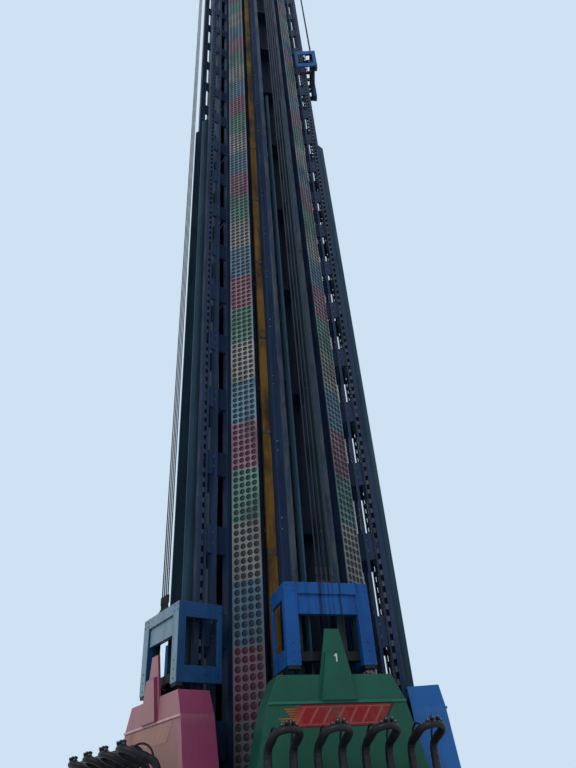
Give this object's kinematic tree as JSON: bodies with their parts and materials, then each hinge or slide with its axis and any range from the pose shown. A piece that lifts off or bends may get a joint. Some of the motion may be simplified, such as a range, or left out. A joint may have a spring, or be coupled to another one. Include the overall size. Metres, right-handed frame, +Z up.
{
  "type": "drop tower ride, 1:2 scale model",
  "caption": "Five-sided drop tower ride at half size: lattice tower with lit corner panels, catch cars on lift ropes, coloured gondolas with seats and restraints.",
  "frame": {"origin": "centre of the underside of the base plate, on the tower's axis at ground level", "axes": "+Z up along the tower, -Y out of the front (green gondola) face"},
  "size_m": [3.5234, 3.2608, 29.4822],
  "materials": {
    "foundation_steel": "dull grey paint with grime",
    "tower_steel": "weathered navy paint",
    "lamp_panel": "silver grey sheet, slightly dirty",
    "fin_metal": "dull blue grey metal",
    "duct_paint": "weathered ochre paint",
    "head_steel": "dull grey paint",
    "machine_grey": "grey machine paint",
    "rope_steel": "galvanised and oily",
    "catch_paint": "bright blue gloss paint, faded and scuffed",
    "carriage_steel": "black grey paint, greasy",
    "green_shell": "dark green gelcoat",
    "blue_shell": "bright blue gelcoat",
    "yellow_shell": "yellow gelcoat",
    "red_shell": "red gelcoat",
    "pink_shell": "pink gelcoat, sun faded",
    "seat_plastic": "black moulded plastic",
    "restraint_black": "black padded covers on steel tube"
  },
  "bodies": {
    "tower": {"base_plate": "foundation_steel", "corner_columns": "tower_steel", "ring_frames": "tower_steel", "core_panels": "tower_steel", "lamp_panels": "lamp_panel", "brake_fins": "fin_metal", "cable_ducts": "duct_paint", "landing_buffers": "machine_grey", "head_plate": "head_steel", "head_beams": "head_steel", "rope_sheaves": "machine_grey", "winch_drums": "machine_grey", "front_ladders": "tower_steel", "front_ropes": "rope_steel", "right_ladders": "tower_steel", "right_ropes": "rope_steel", "rear_right_ladders": "tower_steel", "rear_right_ropes": "rope_steel", "rear_left_ladders": "tower_steel", "rear_left_ropes": "rope_steel", "left_ladders": "tower_steel", "left_ropes": "rope_steel"},
    "front_catch_car": {"front_catch_frame": "catch_paint", "front_catch_carriage": "carriage_steel"},
    "front_gondola": {"front_cowling": "green_shell", "front_chassis": "carriage_steel", "front_seats": "seat_plastic"},
    "front_restraint_bar": {"front_restraints": "restraint_black"},
    "right_catch_car": {"right_catch_frame": "catch_paint", "right_catch_carriage": "carriage_steel"},
    "right_gondola": {"right_cowling": "blue_shell", "right_chassis": "carriage_steel", "right_seats": "seat_plastic"},
    "right_restraint_bar": {"right_restraints": "restraint_black"},
    "rear_right_catch_car": {"rear_right_catch_frame": "catch_paint", "rear_right_catch_carriage": "carriage_steel"},
    "rear_right_gondola": {"rear_right_cowling": "yellow_shell", "rear_right_chassis": "carriage_steel", "rear_right_seats": "seat_plastic"},
    "rear_right_restraint_bar": {"rear_right_restraints": "restraint_black"},
    "rear_left_catch_car": {"rear_left_catch_frame": "catch_paint", "rear_left_catch_carriage": "carriage_steel"},
    "rear_left_gondola": {"rear_left_cowling": "red_shell", "rear_left_chassis": "carriage_steel", "rear_left_seats": "seat_plastic"},
    "rear_left_restraint_bar": {"rear_left_restraints": "restraint_black"},
    "left_catch_car": {"left_catch_frame": "catch_paint", "left_catch_carriage": "carriage_steel"},
    "left_gondola": {"left_cowling": "pink_shell", "left_chassis": "carriage_steel", "left_seats": "seat_plastic"},
    "left_restraint_bar": {"left_restraints": "restraint_black"}
  },
  "joints": [
    {"name": "front_gondola_lift", "type": "slide", "parent": "tower", "child": "front_gondola", "axis": [0, 0, 1], "range_m": [0, 25.5]},
    {"name": "front_catch_lift", "type": "slide", "parent": "tower", "child": "front_catch_car", "axis": [0, 0, 1], "range_m": [0, 25.5], "deforming": ["front_ropes"]},
    {"name": "front_restraint_hinge", "type": "hinge", "parent": "front_gondola", "child": "front_restraint_bar", "pos_m": [0, -1.362, 0.85], "axis": [1, 0, 0], "range_deg": [0, 80]},
    {"name": "right_gondola_lift", "type": "slide", "parent": "tower", "child": "right_gondola", "axis": [0, 0, 1], "range_m": [0, 10]},
    {"name": "right_catch_lift", "type": "slide", "parent": "tower", "child": "right_catch_car", "axis": [0, 0, 1], "range_m": [-10, 15.5], "deforming": ["right_ropes"]},
    {"name": "right_restraint_hinge", "type": "hinge", "parent": "right_gondola", "child": "right_restraint_bar", "pos_m": [1.29534, -0.42088, 0.85], "axis": [0.309, 0.9511, 0], "range_deg": [-80, 0]},
    {"name": "rear_right_gondola_lift", "type": "slide", "parent": "tower", "child": "rear_right_gondola", "axis": [0, 0, 1], "range_m": [0, 25.5]},
    {"name": "rear_right_catch_lift", "type": "slide", "parent": "tower", "child": "rear_right_catch_car", "axis": [0, 0, 1], "range_m": [0, 25.5], "deforming": ["rear_right_ropes"]},
    {"name": "rear_right_restraint_hinge", "type": "hinge", "parent": "rear_right_gondola", "child": "rear_right_restraint_bar", "pos_m": [0.80056, 1.10188, 0.85], "axis": [-0.809, 0.5878, 0], "range_deg": [0, 80]},
    {"name": "rear_left_gondola_lift", "type": "slide", "parent": "tower", "child": "rear_left_gondola", "axis": [0, 0, 1], "range_m": [0, 25.5]},
    {"name": "rear_left_catch_lift", "type": "slide", "parent": "tower", "child": "rear_left_catch_car", "axis": [0, 0, 1], "range_m": [0, 25.5], "deforming": ["rear_left_ropes"]},
    {"name": "rear_left_restraint_hinge", "type": "hinge", "parent": "rear_left_gondola", "child": "rear_left_restraint_bar", "pos_m": [-0.80056, 1.10188, 0.85], "axis": [-0.809, -0.5878, 0], "range_deg": [0, 80]},
    {"name": "left_gondola_lift", "type": "slide", "parent": "tower", "child": "left_gondola", "axis": [0, 0, 1], "range_m": [0, 25.5]},
    {"name": "left_catch_lift", "type": "slide", "parent": "tower", "child": "left_catch_car", "axis": [0, 0, 1], "range_m": [0, 25.5], "deforming": ["left_ropes"]},
    {"name": "left_restraint_hinge", "type": "hinge", "parent": "left_gondola", "child": "left_restraint_bar", "pos_m": [-1.29534, -0.42088, 0.85], "axis": [0.309, -0.9511, 0], "range_deg": [0, 80]}
  ],
  "couplings": [
    {"joint": "front_catch_lift", "follows": "front_gondola_lift", "ratio": 1},
    {"joint": "rear_right_catch_lift", "follows": "rear_right_gondola_lift", "ratio": 1},
    {"joint": "rear_left_catch_lift", "follows": "rear_left_gondola_lift", "ratio": 1},
    {"joint": "left_catch_lift", "follows": "left_gondola_lift", "ratio": 1}
  ]
}
